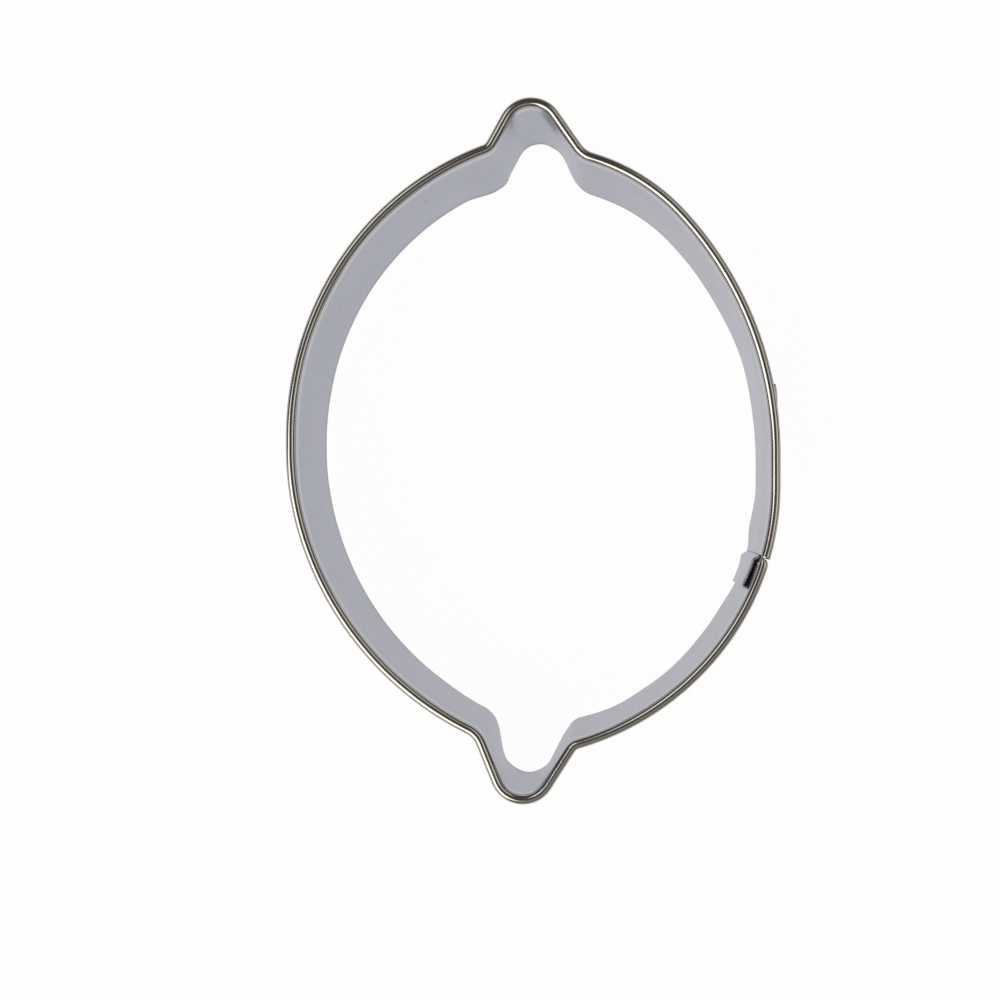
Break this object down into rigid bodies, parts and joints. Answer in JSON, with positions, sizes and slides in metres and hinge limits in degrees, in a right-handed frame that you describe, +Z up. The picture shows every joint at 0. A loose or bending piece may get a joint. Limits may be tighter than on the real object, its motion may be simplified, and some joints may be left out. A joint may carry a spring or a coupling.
{
  "type": "cookie cutter",
  "caption": "Lemon-shaped cookie cutter: a bent stainless strip with an outward-rolled top rim, closed by a spot-welded lap.",
  "frame": {"origin": "middle of the cutter's bounding box at the level of the cutting edge", "axes": "+Z up, from the cutting edge to the rolled rim; +Y along the lemon's long axis, to the nub that is at the top of the picture; +X to the side that has the lap joint"},
  "size_m": [0.056, 0.08, 0.022],
  "materials": {
    "strip_steel": "smooth rolled stainless steel, with a bright rolled rim",
    "weld_steel": "dull fused steel between the two thicknesses"
  },
  "bodies": {
    "root": {"formed_strip": "strip_steel", "spot_welds": "weld_steel"}
  },
  "joints": []
}
